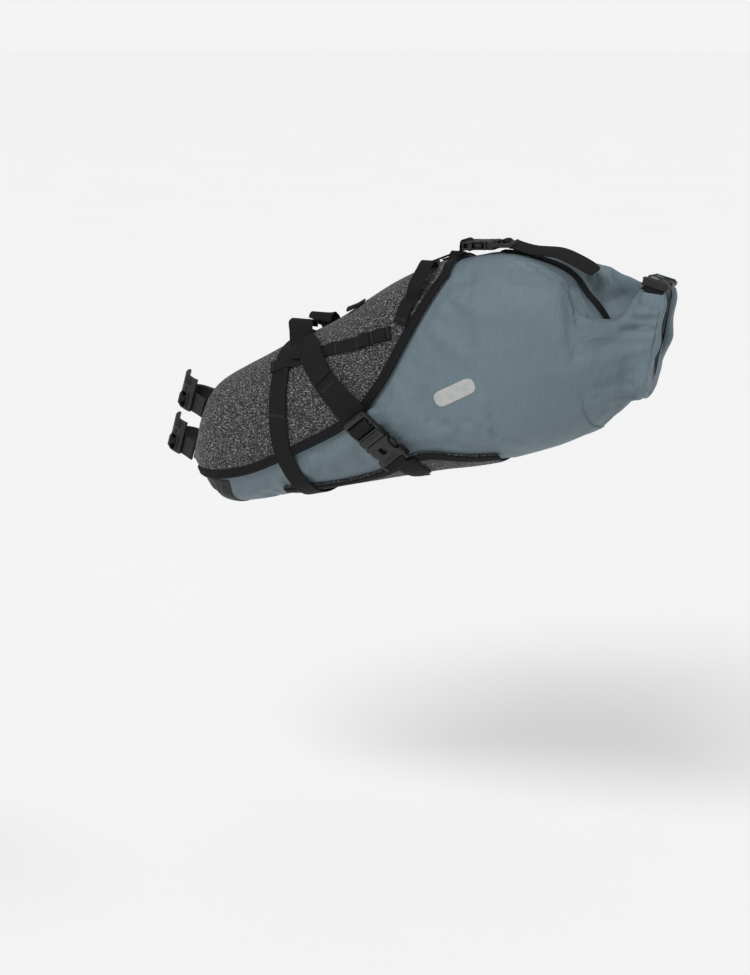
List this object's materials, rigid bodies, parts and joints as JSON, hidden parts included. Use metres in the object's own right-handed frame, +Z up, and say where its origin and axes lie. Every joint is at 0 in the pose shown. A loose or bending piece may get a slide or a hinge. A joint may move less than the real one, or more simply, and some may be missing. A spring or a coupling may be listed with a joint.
{
  "type": "saddle bag",
  "caption": "Seatpost saddle bag: a felt holster with buckled straps cradles a roll-top dry bag that draws out rearward.",
  "frame": {"origin": "on the seatpost axis, midway between the two post straps", "axes": "+X rearward along the bicycle, +Y to the rider's right, +Z up; the post leans back 16.5 degrees"},
  "size_m": [0.5317, 0.1874, 0.2818],
  "materials": {
    "felt": "grey melange felt",
    "coated_fabric": "slate blue coated fabric",
    "black_coated_fabric": "black coated fabric",
    "binding_tape": "black woven tape",
    "webbing": "black nylon webbing",
    "buckle_plastic": "moulded black plastic",
    "strap_rubber": "black moulded rubber"
  },
  "bodies": {
    "holster": {"belly_binding_left": "binding_tape", "belly_binding_right": "binding_tape", "belly_panel": "felt", "belly_tab_left": "webbing", "belly_tab_right": "webbing", "daisy_webbing_left": "webbing", "daisy_webbing_right": "webbing", "girth_webbing": "webbing", "holster_binding": "binding_tape", "holster_shell": "felt", "post_band_far_lower": "strap_rubber", "post_band_far_upper": "strap_rubber", "post_band_near_lower": "strap_rubber", "post_band_near_upper": "strap_rubber", "post_hook_lower": "strap_rubber", "post_hook_upper": "strap_rubber", "rail_strap_left": "webbing", "rail_strap_right": "webbing", "rim_loop_left": "webbing", "rim_loop_right": "webbing", "seatpost_pad": "strap_rubber", "side_buckle_socket_left": "buckle_plastic", "side_buckle_socket_right": "buckle_plastic", "top_buckle_socket": "buckle_plastic", "top_strap": "webbing"},
    "side_plug_left": {"side_buckle_plug_left": "buckle_plastic", "side_strap_tail_left": "webbing"},
    "side_plug_right": {"side_buckle_plug_right": "buckle_plastic", "side_strap_tail_right": "webbing"},
    "top_plug": {"top_buckle_plug": "buckle_plastic", "load_strap_tail": "webbing"},
    "closure_plug": {"closure_plug": "buckle_plastic"},
    "dry_bag": {"dry_bag": "coated_fabric", "nose_patch": "black_coated_fabric", "load_strap": "webbing", "rolled_closure": "coated_fabric", "closure_socket": "buckle_plastic", "closure_stub_left": "webbing", "closure_stub_right": "webbing"},
    "post_plate_upper": {"post_plate_upper": "strap_rubber"},
    "post_plate_lower": {"post_plate_lower": "strap_rubber"}
  },
  "joints": [
    {"name": "side_plug_left_release", "type": "slide", "parent": "holster", "child": "side_plug_left", "axis": [-0.6226, -0.3491, 0.7004], "range_m": [0, 0.026]},
    {"name": "side_plug_right_release", "type": "slide", "parent": "holster", "child": "side_plug_right", "axis": [-0.6226, 0.3491, 0.7004], "range_m": [0, 0.026]},
    {"name": "dry_bag_draw", "type": "slide", "parent": "holster", "child": "dry_bag", "axis": [0.9636, 0, 0.2672], "range_m": [0, 0.36]},
    {"name": "top_plug_release", "type": "slide", "parent": "dry_bag", "child": "top_plug", "axis": [0.9982, 0, 0.0599], "range_m": [0, 0.024]},
    {"name": "closure_plug_release", "type": "slide", "parent": "dry_bag", "child": "closure_plug", "axis": [0, 1, 0], "range_m": [0, 0.018]},
    {"name": "post_plate_upper_open", "type": "hinge", "parent": "holster", "child": "post_plate_upper", "pos_m": [-0.01246, 0.0022, 0.02872], "axis": [-0.284, 0, -0.9588], "range_deg": [0, 100]},
    {"name": "post_plate_lower_open", "type": "hinge", "parent": "holster", "child": "post_plate_lower", "pos_m": [-0.02609, 0.0022, -0.0173], "axis": [-0.284, 0, -0.9588], "range_deg": [0, 100]}
  ]
}
